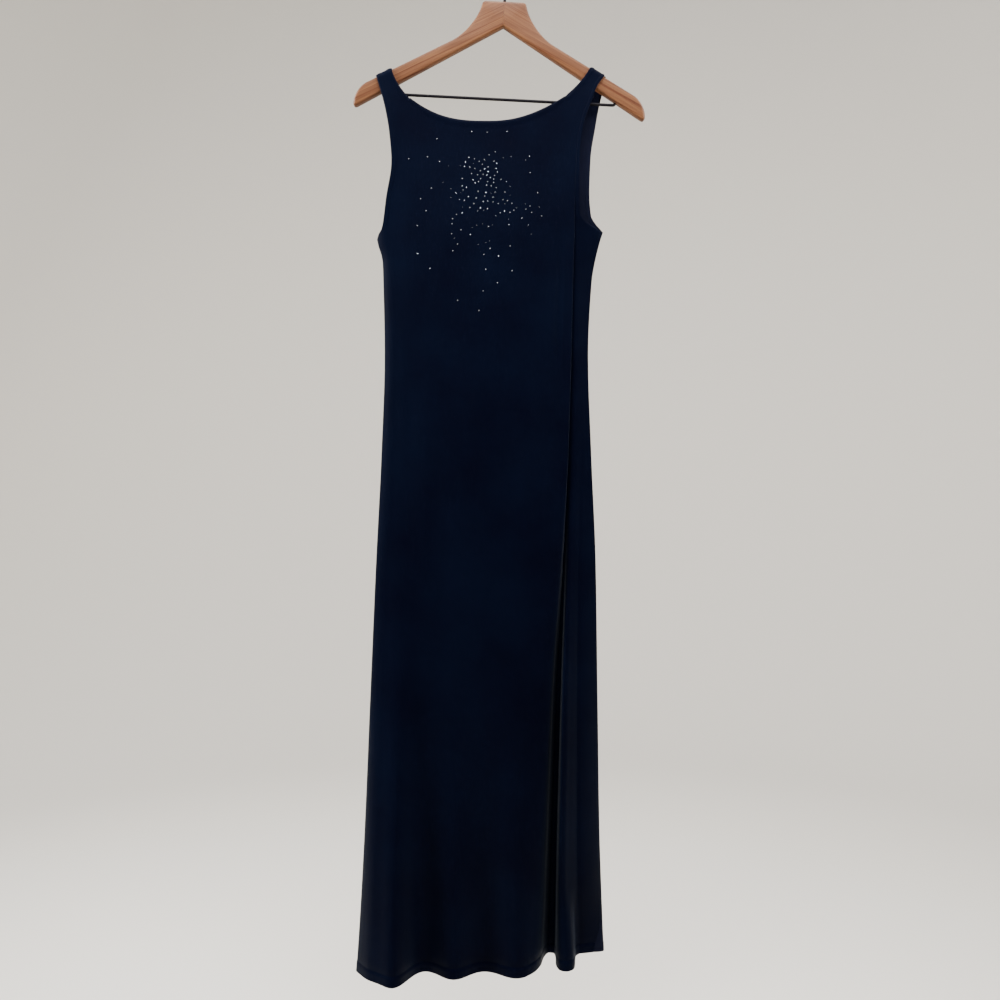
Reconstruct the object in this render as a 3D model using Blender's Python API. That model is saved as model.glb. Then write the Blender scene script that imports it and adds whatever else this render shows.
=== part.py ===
"""A sleeveless floor-length evening dress hanging on a wooden hanger.

The dress is two panels of stretch jersey, front and back, sewn at the shoulders and the sides. Each is one
cloth, whose wall is built in patches that touch. It has slid a little to the left on the hanger, and the slack
on its right side hangs in one deep rolled fold.

Lengths are in millimetres until a mesh is made. +X is to the viewer's right, -Y faces the viewer and +Z is
up. The origin is the inside top of the hook, and a drop is a distance below it.
"""

import math

import bmesh
import bpy
from mathutils import Vector

for old in list(bpy.data.objects):
    bpy.data.objects.remove(old, do_unlink=True)


def table(columns, *rows):
    """Rows of numbers as dictionaries, by the names of their columns."""
    return [dict(zip(columns.split(), row)) for row in rows]


# ---------------------------------------------------------------- driving dimensions

MM = 0.001
GAP = 0.3  # left between pieces that touch
RIGHT_ANGLE = math.pi / 2

# The hanger, in its own upright frame.
ROLL = math.radians(2.9)  # it hangs with its right arm lower
WOOD_THICK = 12.0
WOOD_EASING = 3.5
HEAD_TOP = 63.0
HEAD_HALF_WIDTH = 32.0
HEAD_CORNER = 3.0
HEAD_FLARE = math.radians(15.0)  # of the head's sides from upright
NECK_CORNER = (43.7, 106.6)  # across and drop, where the lines of the head's side and the arm's top meet
NECK_ROUND = 86.0
ARM_SLOPE = math.radians(29.0)
SHOULDER_START = 198.0  # from the centre to where the arm's end begins to round
SHOULDER_ROUND = 40.0
TIP_ROUND = 5.0
APEX_DROP = 100.8  # the underside at the mitre

WIRE_RADIUS = 1.7
HOOK_INSIDE_RADIUS = 19.0
HOOK_SWAN_RADIUS = 12.0  # the bend between the stem and the hook's circle
HOOK_SWEEP = math.radians(207)  # where the wire ends, round from the right
STEM_DEPTH = 16.0  # set in the head
BAR_RADIUS = 1.5
BAR_DROP = 208.2
BAR_REACH = 173.0
BAR_BEND = 3.5
BAR_DEPTH = 9.0  # of its ends, above the bend and in the arms
ROD_END = 0.5  # the easing of a rod's ends

# The dress.
WALL = 1.4
SEAM_GAP = 0.4
STRAP_LIFT = 1.7  # the middle of the cloth above the wood
STRAP_WRAP = 8.5  # height over which a strap turns over the arm
STRAP_SQUARENESS = 2.6  # exponent of that turn, where 2 is an ellipse
STRAP_OUTER = {"left": -196.0, "right": 149.0}
STRAP_INNER = {"left": -172.2, "right": 125.6}
NECK_DEPTH = {"front": 82.5, "back": 90.5}
NECK_WIDE = {"left": 2.8, "right": 2.2}  # exponents of the scoop's halves across, where 2 is an ellipse
NECK_DEEP = {"left": 1.5, "right": 1.25}  # and down
UNDERARM = {"left": 418.5, "right": 407.4}  # drops
HEM_DROP = 1510.0
HEM_LIFT = 6.0  # of the hem beyond the rolled fold

# The side lines where front and back meet, and the depths at which their seams lie. Above the underarms the
# lines run on outside the straps, as the cloth did before the armholes were cut. A panel turns the corner
# to its seam within the rounding.
SIDES = table(
    "drop  left    right   left_seam  right_seam  rounding",
    (160, -230.0, 186.0, 0, 0, 9),
    (330, -208.0, 166.0, 0, 0, 9),
    (385, -198.0, 152.0, 0, 0, 9),
    (407, -195.0, 144.0, 0, 0, 9),
    (419, -194.0, 140.0, 0, 0, 9),
    (450, -185.6, 132.3, 0, 1, 9),
    (480, -184.5, 127.3, 0, 2, 9),
    (590, -182.5, 122.1, 0, 4, 9),
    (740, -187.3, 126.9, 0, 5, 10),
    (900, -195.3, 133.8, 0, 8, 11),
    (1100, -203.8, 137.3, -1, 15, 12),
    (1300, -212.0, 141.3, -3, 28, 13),
    (1440, -219.3, 146.8, -6, 40, 14),
    (1512, -224.0, 150.3, -8, 47, 14),
)

# The armholes' edges, by height above the underarm points.
ARMHOLES = table(
    "up   front_left  front_right  back_left  back_right",
    (0, -194.0, 144.0, -194.0, 144.0),
    (8, -191.0, 127.0, -190.0, 139.5),
    (16, -186.0, 114.5, -184.5, 133.3),
    (26, -184.2, 108.8, -182.0, 127.6),
    (60, -180.0, 108.3, -177.5, 124.9),
    (115, -171.9, 108.7, -169.5, 126.8),
    (160, -175.4, 114.5, -173.0, 133.6),
    (190, -180.4, 124.8, -178.5, 139.0),
    (215, -186.5, 134.0, -185.5, 145.0),
    (240, -194.0, 150.0, -193.5, 150.0),
    (255, -198.5, 154.0, -198.5, 154.0),
)

# How far the plain part of each panel stands from the middle. In front, the bounds and the depth of the
# rolled fold too, and how near the right edge the flap beyond it starts to turn.
FRONT = table(
    "drop  level  fold_left  fold_right  fold_depth  turn",
    (160, 7.7, 129.0, 139.0, 0, 5),
    (200, 7.9, 117.0, 125.0, 0, 3),
    (250, 8.6, 103.5, 109.5, 0, 2),
    (290, 9.0, 100.0, 106.0, 0, 1.2),
    (340, 9.5, 99.0, 106.0, 1, 1.2),
    (385, 10.0, 97.0, 106.0, 3.5, 1.2),
    (407, 10.4, 95.0, 109.0, 5.5, 9),
    (455, 11.0, 91.0, 111.0, 8, 9),
    (590, 12.0, 86.0, 110.0, 10, 9),
    (740, 14.0, 78.0, 110.0, 13, 10),
    (900, 16.0, 67.5, 107.5, 18, 11),
    (1100, 18.0, 53.0, 105.5, 28, 12),
    (1300, 15.0, 42.0, 106.0, 41, 13),
    (1440, 8.0, 34.0, 109.5, 47, 14),
    (1512, 5.0, 29.0, 112.0, 53, 14),
)
BACK = table(
    "drop  level",
    (160, 7.7),
    (250, 9.0),
    (415, 11.5),
    (590, 14),
    (900, 23),
    (1100, 31),
    (1300, 42),
    (1512, 58),
)

# The rolled fold's cross-section, in shares of its width and its depth. It falls into a valley, and its right
# wall leans back over that and rolls down to the flap behind.
ROLL_SECTION = table(
    "across deep",
    (0.00, 0.00),
    (0.13, 0.09),
    (0.25, 0.42),
    (0.35, 0.88),
    (0.45, 1.00),
    (0.54, 0.92),
    (0.56, 0.60),
    (0.55, 0.22),
    (0.615, -0.02),
    (0.705, -0.12),
    (0.80, 0.00),
    (0.90, 0.49),
    (1.00, 0.80),
)

# Soft folds that die out above the hem: their places and half widths at the hem, how far they reach outwards
# and how high they go.
WAVES = {
    "front": table(
        "place  width  reach  height",
        (-193, 24, 36, 560),
        (-160, 16, 42, 640),
        (-78, 20, 31, 420),
        (14, 22, 21, 480),
    ),
    "back": table(
        "place  width  reach  height",
        (-165, 26, 16, 560),
        (-92, 20, -14, 640),
        (-28, 22, 13, 460),
        (66, 30, 12, 700),
        (118, 15, -8, 380),
    ),
}
WAVE_GROWTH = 1.6
SETTLING = 8  # rounds in which the top of a sloping strap finds its place

# The grid of each panel. Its columns run down between guide lines. Its rows keep these distances down a
# strap to the underarm, where the columns under the neck start at the neck row and shrink to fit, and then
# below that.
TURN_COLUMNS = 4
NECK_COLUMNS = {"front": 17, "back": 14}
FLAP_COLUMNS = 2
UPPER_ROWS = (0, 1, 2.7, 5.2, 8.5, 20, 45, 80, 118, 155, 188, 210, 224, 233, 241, 250)
NECK_ROW = 6
LOWER_ROWS = (14, 34, 64, 110, 180)
LOWER_STEPS = 10
ROW_COUNT = len(UPPER_ROWS) + len(LOWER_ROWS) + LOWER_STEPS

# Each panel's wall is made in patches, a hairline apart, which are nearly flat or make one simple bend: the tops
# of the straps, the bodice, and the dress below the underarms in spans and bands. They are ranges of the columns
# and of the rows.
STRAPS = {
    "front": {"strap_left": (0, 4), "strap_right": (21, 40)},
    "back": {"strap_left": (0, 4), "strap_right": (18, 22)},
}
SPANS = {
    "front": {"side_left": (0, 4), "skirt": (4, 22), "fold": (22, 36), "side_right": (36, 40)},
    "back": {"side_left": (0, 4), "skirt": (4, 18), "side_right": (18, 22)},
}
STRAP_ROWS = (0, 4)
BODICE_ROWS = (4, 13)
BANDS = {"upper": (13, 20), "middle": (20, 25), "lower": (25, 30)}


# ---------------------------------------------------------------- curves and tables


def mix(low, high, share):
    """A value between two others."""
    return low + (high - low) * share


def spread(first, last, count):
    """Evenly spaced values from one to another, without the first."""
    return [mix(first, last, step / count) for step in range(1, count + 1)]


def ease(share):
    """A share from 0 to 1 that starts and ends gently."""
    share = min(max(share, 0.0), 1.0)
    return share * share * (3.0 - 2.0 * share)


def read(rows, name, place):
    """A column of a table at a place in its first, on a smooth curve that never overshoots the rows."""
    key = next(iter(rows[0]))
    places = [row[key] for row in rows]
    values = [row[name] for row in rows]
    if place <= places[0]:
        return values[0]
    if place >= places[-1]:
        return values[-1]
    slopes = [(b - a) / (q - p) for a, b, p, q in zip(values, values[1:], places, places[1:])]
    bends = [slopes[0]]
    for before, after in zip(slopes, slopes[1:]):
        bends.append(2.0 * before * after / (before + after) if before * after > 0 else 0.0)
    bends.append(slopes[-1])
    index = max(i for i, start in enumerate(places[:-1]) if start <= place)
    length = places[index + 1] - places[index]
    t = (place - places[index]) / length
    start = values[index] * (1 + 2 * t) + bends[index] * length * t
    end = values[index + 1] * (3 - 2 * t) - bends[index + 1] * length * (1 - t)
    return start * (1 - t) ** 2 + end * t * t


def arc(centre, radius, start, end, steps):
    """Points round a centre in the XZ plane, from one angle to another."""
    angles = [start] + spread(start, end, steps)
    return [(centre[0] + radius * math.cos(a), centre[1] + radius * math.sin(a)) for a in angles]


# ---------------------------------------------------------------- making objects


def material(name, colour, roughness, metallic=0.0, sheen=0.0):
    """A Principled material."""
    made = bpy.data.materials.new(name)
    made.use_nodes = True
    shader = made.node_tree.nodes["Principled BSDF"]
    shader.inputs["Base Color"].default_value = (*colour, 1.0)
    shader.inputs["Roughness"].default_value = roughness
    shader.inputs["Metallic"].default_value = metallic
    shader.inputs["Sheen Weight"].default_value = sheen
    made.diffuse_color = (*colour, 1.0)
    return made


def empty(name, parent=None):
    """An empty that carries other objects."""
    made = bpy.data.objects.new(name, None)
    bpy.context.scene.collection.objects.link(made)
    made.parent = parent
    return made


def add(name, bm, finish, parent):
    """An object from a bmesh in millimetres, shaded smooth up to 40 degrees."""
    bmesh.ops.scale(bm, vec=(MM, MM, MM), verts=bm.verts)
    mesh = bpy.data.meshes.new(name)
    bm.to_mesh(mesh)
    bm.free()
    mesh.materials.append(finish)
    mesh.shade_smooth()
    mesh.set_sharp_from_angle(angle=math.radians(40))
    made = bpy.data.objects.new(name, mesh)
    bpy.context.scene.collection.objects.link(made)
    made.parent = parent
    return made


def rod(path, radius, easing=ROD_END, sides=8):
    """A round rod along a path in the XZ plane, its ends narrower by the easing."""
    bm = bmesh.new()
    points = [Vector((x, 0.0, z)) for x, z in path]
    across = Vector((0.0, 1.0, 0.0))
    rings = []
    for index, point in enumerate(points):
        ahead = points[min(index + 1, len(points) - 1)]
        behind = points[max(index - 1, 0)]
        side = (ahead - behind).normalized().cross(across)
        reach = radius - easing if index in (0, len(points) - 1) else radius
        angles = [2 * math.pi * step / sides for step in range(sides)]
        offsets = [side * math.cos(angle) + across * math.sin(angle) for angle in angles]
        rings.append([bm.verts.new(point + offset * reach) for offset in offsets])
    for ring, above in zip(rings, rings[1:]):
        for step in range(sides):
            after = (step + 1) % sides
            bm.faces.new((ring[step], ring[after], above[after], above[step]))
    bm.faces.new(rings[0])
    bm.faces.new(rings[-1])
    bmesh.ops.recalc_face_normals(bm, faces=bm.faces)
    return bm


def bore(target, name, path, radius):
    """Cuts a round channel along a path."""
    cutter = add(name, rod(path, radius, easing=0.0), target.data.materials[0], target.parent)
    cutter.hide_render = True
    cutter.display_type = "WIRE"
    cut = target.modifiers.new(name, "BOOLEAN")
    cut.operation = "DIFFERENCE"
    cut.solver = "EXACT"
    cut.object = cutter


# ---------------------------------------------------------------- the hanger


def half_outline():
    """The right half of the hanger's outline, from the middle of the head's top round to the mitre's foot."""
    corner_x, corner_z = NECK_CORNER[0], -NECK_CORNER[1]
    head_side = RIGHT_ANGLE - HEAD_FLARE
    tangent = NECK_ROUND * math.tan((head_side - ARM_SLOPE) / 2)
    arm_x = corner_x + tangent * math.cos(ARM_SLOPE)
    arm_z = corner_z - tangent * math.sin(ARM_SLOPE)
    neck_x = arm_x + NECK_ROUND * math.sin(ARM_SLOPE)
    neck_z = arm_z + NECK_ROUND * math.cos(ARM_SLOPE)
    shoulder_x = SHOULDER_START - SHOULDER_ROUND * math.sin(ARM_SLOPE)
    shoulder_z = (
        corner_z
        - (SHOULDER_START - corner_x) * math.tan(ARM_SLOPE)
        - SHOULDER_ROUND * math.cos(ARM_SLOPE)
    )
    tip_x = shoulder_x + SHOULDER_ROUND - TIP_ROUND
    underside = math.atan2(-shoulder_z - APEX_DROP, tip_x)
    head = (HEAD_HALF_WIDTH - HEAD_CORNER, -HEAD_TOP - HEAD_CORNER)
    return (
        [(0.0, -HEAD_TOP)]
        + arc(head, HEAD_CORNER, RIGHT_ANGLE, RIGHT_ANGLE - head_side, 3)
        + arc((neck_x, neck_z), NECK_ROUND, 3 * RIGHT_ANGLE - head_side, 3 * RIGHT_ANGLE - ARM_SLOPE, 7)
        + arc((shoulder_x, shoulder_z), SHOULDER_ROUND, RIGHT_ANGLE - ARM_SLOPE, 0.0, 6)
        + arc((tip_x, shoulder_z), TIP_ROUND, 0.0, -RIGHT_ANGLE - underside, 5)[1:]
        + [(0.0, -APEX_DROP)]
    )


def hanger_half(side):
    """One mitred half of the wooden hanger: the whole outline is extruded, eased and cut at the centre."""
    right = half_outline()
    left = [(-x, z) for x, z in reversed(right[1:-1])]
    bm = bmesh.new()
    face = bm.faces.new([bm.verts.new((x, -WOOD_THICK / 2, z)) for x, z in right + left])
    moved = bmesh.ops.extrude_face_region(bm, geom=[face])["geom"]
    far = [item for item in moved if isinstance(item, bmesh.types.BMVert)]
    bmesh.ops.translate(bm, verts=far, vec=(0.0, WOOD_THICK, 0.0))
    rims = [item for item in bm.edges if item.verts[0].co.y * item.verts[1].co.y > 0]
    bmesh.ops.bevel(
        bm,
        geom=rims,
        offset=WOOD_EASING,
        offset_type="OFFSET",
        segments=2,
        profile=0.5,
        affect="EDGES",
        material=-1,
    )
    bmesh.ops.bisect_plane(
        bm,
        geom=bm.verts[:] + bm.edges[:] + bm.faces[:],
        plane_co=(side * GAP / 2, 0.0, 0.0),
        plane_no=(-side, 0.0, 0.0),
        clear_outer=True,
    )
    bmesh.ops.holes_fill(bm, edges=bm.edges, sides=0)
    bmesh.ops.recalc_face_normals(bm, faces=bm.faces)
    return bm


def hook_path():
    """The hook's wire, from its foot in the head up a swan bend and round the hook."""
    ring = HOOK_INSIDE_RADIUS + WIRE_RADIUS
    rise = math.sqrt((HOOK_SWAN_RADIUS + ring) ** 2 - HOOK_SWAN_RADIUS**2)
    turn = math.atan2(rise, HOOK_SWAN_RADIUS)
    swan_centre = (HOOK_SWAN_RADIUS, -HOOK_INSIDE_RADIUS - rise)
    swan = arc(swan_centre, HOOK_SWAN_RADIUS, math.pi, math.pi - turn, 5)
    circle = arc((0.0, -HOOK_INSIDE_RADIUS), ring, -turn, HOOK_SWEEP, 26)
    foot = -HEAD_TOP - STEM_DEPTH
    return [(0.0, foot), (0.0, foot + ROD_END)] + swan + circle[1:]


def bar_end(side):
    """One end of the trouser bar: its bend, and the stretch that stands in the arm."""
    bend = arc((BAR_REACH - BAR_BEND, BAR_BEND - BAR_DROP), BAR_BEND, -RIGHT_ANGLE, 0.0, 4)
    top = bend[-1][1] + BAR_DEPTH
    end = bend + [(BAR_REACH, top - ROD_END), (BAR_REACH, top)]
    return [(side * x, z) for x, z in end]


def bar_socket(side):
    """The channel for one end of the trouser bar, which runs on above it and beside its bend."""
    end = bar_end(side)
    beside = end[0][0] - side * BAR_BEND
    over = end[-1][1] + GAP + ROD_END
    return [(beside, end[0][1])] + end[:-1] + [(end[-1][0], over)]


def rolled(x, drop):
    """Where a point of the upright hanger is when it hangs rolled."""
    return x * math.cos(ROLL) - drop * math.sin(ROLL), x * math.sin(ROLL) + drop * math.cos(ROLL)


def arm_top(x):
    """The drop of the straight top of the rolled hanger's arm at a place across."""
    side = math.copysign(1.0, x)
    reach = SHOULDER_START - NECK_CORNER[0]
    near, near_drop = rolled(side * NECK_CORNER[0], NECK_CORNER[1])
    far, far_drop = rolled(side * SHOULDER_START, NECK_CORNER[1] + reach * math.tan(ARM_SLOPE))
    return mix(near_drop, far_drop, (x - near) / (far - near))


# ---------------------------------------------------------------- the shape of the dress


def shoulder_drop(x):
    """The drop of the top of a strap, which lies over the hanger's arm."""
    return arm_top(x) - STRAP_LIFT


def underarm_drop(x):
    """The drop of the line between the two underarm points."""
    left, right = ARMHOLES[0]["front_left"], ARMHOLES[0]["front_right"]
    return mix(UNDERARM["left"], UNDERARM["right"], (x - left) / (right - left))


def hem_drop(x):
    """The drop of the hem, which is a little higher beyond the rolled fold."""
    left, right = FRONT[-1]["fold_left"], FRONT[-1]["fold_right"]
    return HEM_DROP - HEM_LIFT * ease((x - left) / (right - left))


def neck_point(panel, angle):
    """A point of the scooped neckline, by its angle round the scoop from the right strap to the left one."""
    left, right = STRAP_INNER["left"], STRAP_INNER["right"]
    side = "left" if angle > RIGHT_ANGLE else "right"
    across = math.copysign(abs(math.cos(angle)) ** (2 / NECK_WIDE[side]), math.cos(angle))
    down = math.sin(angle) ** (2 / NECK_DEEP[side])
    level = mix(shoulder_drop(right), shoulder_drop(left), angle / math.pi)
    return mix(left, right, (1.0 + across) / 2), level + NECK_DEPTH[panel] * down


def neck_angle(panel, side, drop):
    """The angle round the scoop at which one half of the neckline passes a drop."""
    level = shoulder_drop(STRAP_INNER[side])
    down = min(max((drop - level) / NECK_DEPTH[panel], 0.0), 1.0)
    angle = math.asin(down ** (NECK_DEEP[side] / 2))
    return math.pi - angle if side == "left" else angle


def neck_corner(panel, side):
    """The angle and the drop at which a strap's inner edge becomes the top of the columns under the neck."""
    inner = STRAP_INNER[side]
    top = shoulder_drop(inner)
    drop = mix(top, underarm_drop(inner), UPPER_ROWS[NECK_ROW] / UPPER_ROWS[-1])
    return neck_angle(panel, side, drop), drop


def edge(panel, side, drop):
    """The place of a panel's edge at a drop: its armhole, or its side seam below that."""
    if drop < UNDERARM[side]:
        return read(ARMHOLES, f"{panel}_{side}", UNDERARM[side] - drop)
    return read(SIDES, side, drop)


def inner_line(panel, side, drop):
    """The line that follows a strap's inner edge to the neck row, and below that draws in to its turn."""
    angle, corner_drop = neck_corner(panel, side)
    if drop <= corner_drop:
        return neck_point(panel, neck_angle(panel, side, drop))[0]
    outer_name = "fold_left" if (panel, side) == ("front", "right") else side
    outer = guide(panel, outer_name, drop)
    start = neck_point(panel, angle)[0] - guide(panel, outer_name, corner_drop)
    settled = math.copysign(read(SIDES, "rounding", drop), start)
    return outer + mix(start, settled, ease((drop - corner_drop) / (UNDERARM[side] - corner_drop)))


def guide(panel, name, drop):
    """The place at a drop of one of the lines that a panel's columns run between."""
    if name in ("left", "right"):
        return edge(panel, name, drop)
    if name in ("fold_left", "fold_right"):
        return read(FRONT, name, drop)
    if name == "flap_turn":
        return edge(panel, "right", drop) - read(FRONT, "turn", drop)
    return inner_line(panel, name.removesuffix("_inner"), drop)


def column_plan(panel):
    """A panel's columns from left to right. Each runs between two guides, with its shares of the way from
    one to the other above and below, its share of the rolled fold's depth and its first row."""
    columns = []

    def add_columns(near, far, uppers, lowers, deeps, first_row=0):
        for upper, lower, deep in zip(uppers, lowers, deeps):
            columns.append((near, far, upper, lower, deep, first_row))

    even = [step / TURN_COLUMNS for step in range(TURN_COLUMNS + 1)]
    turned = [1.0 - math.cos(RIGHT_ANGLE * share) for share in even]
    plain = [0.0] * (TURN_COLUMNS + 1)
    add_columns("left", "left_inner", even, turned, plain)

    count = NECK_COLUMNS[panel]
    first, last = (neck_corner(panel, side)[0] for side in ("left", "right"))
    start, end = neck_point(panel, first)[0], neck_point(panel, last)[0]
    middle = [step / count for step in range(1, count)]
    round_neck = [(neck_point(panel, mix(first, last, share))[0] - start) / (end - start) for share in middle]
    add_columns("left_inner", "right_inner", round_neck, middle, [0.0] * count, NECK_ROW)

    if panel == "back":
        add_columns("right", "right_inner", even[::-1], turned[::-1], plain)
        return columns
    across = [row["across"] for row in ROLL_SECTION]
    deeps = [row["deep"] for row in ROLL_SECTION]
    steps = [step / (len(across) - 1) for step in range(len(across))]
    add_columns("fold_left", "right_inner", [1.0], [1.0], [0.0])
    add_columns("fold_left", "fold_right", steps, across, deeps)
    flap = [step / FLAP_COLUMNS for step in range(1, FLAP_COLUMNS)]
    add_columns("fold_right", "flap_turn", flap, flap, [deeps[-1]] * FLAP_COLUMNS)
    add_columns("right", "flap_turn", even[::-1], turned[::-1], [deeps[-1]] * len(even))
    return columns


def waves(panel, x, drop):
    """How far the soft folds above the hem carry a panel outwards."""
    total = 0.0
    for wave in WAVES[panel]:
        grown = max(0.0, 1.0 - (HEM_DROP - drop) / wave["height"])
        away = (x - wave["place"]) / wave["width"]
        total += wave["reach"] * grown**WAVE_GROWTH * math.exp(-away * away / 2)
    return total


def corner(distance, reach, power=2.0):
    """How far a surface has turned from its edge, where it is 0, to 1 at a reach from that."""
    inside = 1.0 - min(max(distance / reach, 0.0), 1.0)
    return (1.0 - inside**power) ** (1.0 / power)


def depth(panel, x, drop, deep):
    """How far behind the middle a panel lies: it meets its seams at the sides and over the hanger's arms."""
    outwards, rows = (-1.0, FRONT) if panel == "front" else (1.0, BACK)
    y = outwards * (read(rows, "level", drop) + waves(panel, x, drop))
    y += deep * read(FRONT, "fold_depth", drop)
    rounding = read(SIDES, "rounding", drop)
    for side in ("left", "right"):
        turned = corner(abs(x - read(SIDES, side, drop)), rounding)
        y = mix(read(SIDES, f"{side}_seam", drop), y, turned)
    over_arm = corner(drop - shoulder_drop(x), STRAP_WRAP, STRAP_SQUARENESS)
    return y * over_arm + outwards * SEAM_GAP / 2


def row_drops(top, line, hem, first_row):
    """The drops of a column's rows: from its top to the underarm line, and from there to the hem."""
    start = UPPER_ROWS[first_row]
    upper = [mix(top, line, (row - start) / (UPPER_ROWS[-1] - start)) for row in UPPER_ROWS[first_row:]]
    lower = [line + row for row in LOWER_ROWS]
    return upper + lower + spread(lower[-1], hem, LOWER_STEPS)


def column_points(panel, column):
    """One column's points from its top to the hem."""
    near, far, upper, lower, deep, first_row = column

    def place(drop, lowered):
        return mix(guide(panel, near, drop), guide(panel, far, drop), mix(upper, lower, lowered))

    if first_row:
        first, last = (neck_corner(panel, side)[0] for side in ("left", "right"))
        top = neck_point(panel, mix(first, last, lower))[1]
    else:
        top = shoulder_drop(STRAP_INNER["left"])
        for _ in range(SETTLING):
            top = shoulder_drop(place(top, 0.0))
    low = place(UNDERARM["right"], 1.0)
    line = underarm_drop(low)
    drops = row_drops(top, line, hem_drop(low), first_row)
    points = []
    for drop in drops:
        x = place(drop, min((drop - top) / (line - top), 1.0))
        points.append(Vector((x, depth(panel, x, drop, deep), -drop)))
    return points


def panel_sheet(panel):
    """A panel as a sheet: the point at each column and row, and the way the cloth faces there. At its seams
    it faces level, so that the walls meet face to face."""
    bm = bmesh.new()
    grid = {}
    for index, column in enumerate(column_plan(panel)):
        points = column_points(panel, column)
        for row, point in enumerate(points, ROW_COUNT - len(points)):
            grid[index, row] = bm.verts.new(point)
    for column, row in grid:
        corners = cell(column, row)
        if all(corner in grid for corner in corners):
            bm.faces.new([grid[corner] for corner in corners])
    bm.normal_update()
    last = max(column for column, row in grid)
    sheet = {}
    for (column, row), vert in grid.items():
        facing = vert.normal.copy()
        if row == 0 or (column in (0, last) and -vert.co.z >= UNDERARM["right"] - GAP):
            facing.y = 0.0
            facing.normalize()
        sheet[column, row] = (vert.co.copy(), facing)
    bm.free()
    return sheet


def cell(column, row):
    """The corners of one face of a sheet."""
    return ((column, row), (column, row + 1), (column + 1, row + 1), (column + 1, row))


def drawn_back(sheet, place, columns, rows):
    """How far a patch's point is drawn back towards its inside from the patches beside it."""
    column, row = place
    ends = ((-1, 0, columns[0]), (1, 0, columns[1]), (0, -1, rows[0]), (0, 1, rows[1]))
    total = Vector()
    for across, down, end in ends:
        at_end = (column if across else row) == end
        if at_end and (column + across, row + down) in sheet:
            inside = sheet[column - across, row - down][0]
            total += (inside - sheet[place][0]).normalized() * GAP / 2
    return total


def patch_wall(sheet, columns, rows):
    """One patch of a panel's wall: its part of the sheet, given its thickness half to each side."""
    bm = bmesh.new()
    outer, inner = {}, {}
    for (column, row), (point, facing) in sheet.items():
        if columns[0] <= column <= columns[1] and rows[0] <= row <= rows[1]:
            drawn = point + drawn_back(sheet, (column, row), columns, rows)
            outer[column, row] = bm.verts.new(drawn + facing * WALL / 2)
            inner[column, row] = bm.verts.new(drawn - facing * WALL / 2)
    for column, row in outer:
        corners = cell(column, row)
        if all(corner in outer for corner in corners):
            bm.faces.new([outer[corner] for corner in corners])
            bm.faces.new([inner[corner] for corner in reversed(corners)])
    twins = {vert: inner[place] for place, vert in outer.items()}
    for rim in [item for item in bm.edges if item.is_boundary and item.verts[0] in twins]:
        start, end = rim.verts
        bm.faces.new((start, end, twins[end], twins[start]))
    bmesh.ops.recalc_face_normals(bm, faces=bm.faces)
    return bm


# ---------------------------------------------------------------- the pieces

jersey = material("navy_stretch_jersey", (0.006, 0.011, 0.022), 0.75, sheen=0.3)
beech = material("lacquered_beech", (0.33, 0.15, 0.075), 0.45)
black_steel = material("black_steel", (0.012, 0.012, 0.013), 0.35, metallic=0.6)

whole = empty("dress_on_hanger")
hanger = empty("rolled_hanger", whole)
hanger.rotation_euler.y = ROLL

stem_socket = [(0.0, -HEAD_TOP - STEM_DEPTH - GAP), (0.0, ROD_END - HEAD_TOP)]
for word, side in (("left", -1), ("right", 1)):
    half = add(f"hanger_half_{word}", hanger_half(side), beech, hanger)
    bore(half, f"stem_socket_{word}", stem_socket, WIRE_RADIUS + GAP)
    bore(half, f"bar_socket_{word}", bar_socket(side), BAR_RADIUS + GAP)

add("hook", rod(hook_path(), WIRE_RADIUS), black_steel, hanger)
add("trouser_bar", rod(bar_end(-1)[::-1] + bar_end(1), BAR_RADIUS), black_steel, hanger)

for panel in ("front", "back"):
    sheet = panel_sheet(panel)
    last_column = max(column for column, row in sheet)
    for strap, columns in STRAPS[panel].items():
        add(f"{panel}_{strap}", patch_wall(sheet, columns, STRAP_ROWS), jersey, whole)
    add(f"{panel}_bodice", patch_wall(sheet, (0, last_column), BODICE_ROWS), jersey, whole)
    for span, columns in SPANS[panel].items():
        for band, rows in BANDS.items():
            add(f"{panel}_{span}_{band}", patch_wall(sheet, columns, rows), jersey, whole)
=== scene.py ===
"""A sleeveless evening dress of navy stretch jersey on a wooden hanger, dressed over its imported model.

Pieces are drawn in millimetres and made metres as they are finished. A drop is a distance below the inside
top of the hook, which is the origin. +X is to the viewer's right and the dress's front faces -Y.
"""

import math
import random

import bmesh
import bpy
from mathutils import Matrix, Vector


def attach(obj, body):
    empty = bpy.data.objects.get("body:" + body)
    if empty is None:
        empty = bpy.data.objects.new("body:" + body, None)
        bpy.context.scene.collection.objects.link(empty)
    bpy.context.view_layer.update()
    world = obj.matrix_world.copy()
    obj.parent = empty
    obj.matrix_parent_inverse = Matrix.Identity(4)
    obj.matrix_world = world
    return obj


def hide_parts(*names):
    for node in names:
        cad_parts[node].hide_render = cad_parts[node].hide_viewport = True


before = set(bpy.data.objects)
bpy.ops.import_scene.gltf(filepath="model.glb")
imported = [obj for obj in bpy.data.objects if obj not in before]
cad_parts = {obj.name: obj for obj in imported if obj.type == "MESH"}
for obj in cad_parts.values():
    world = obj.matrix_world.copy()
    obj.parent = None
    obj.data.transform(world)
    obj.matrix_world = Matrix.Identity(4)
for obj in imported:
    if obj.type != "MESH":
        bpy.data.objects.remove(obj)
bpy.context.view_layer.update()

# ---------------------------------------------------------------- camera
# A level camera stands 1.5 m in front of the hanger, about halfway down the dress. It takes in everything
# from the hanger's head to the hem.

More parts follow.
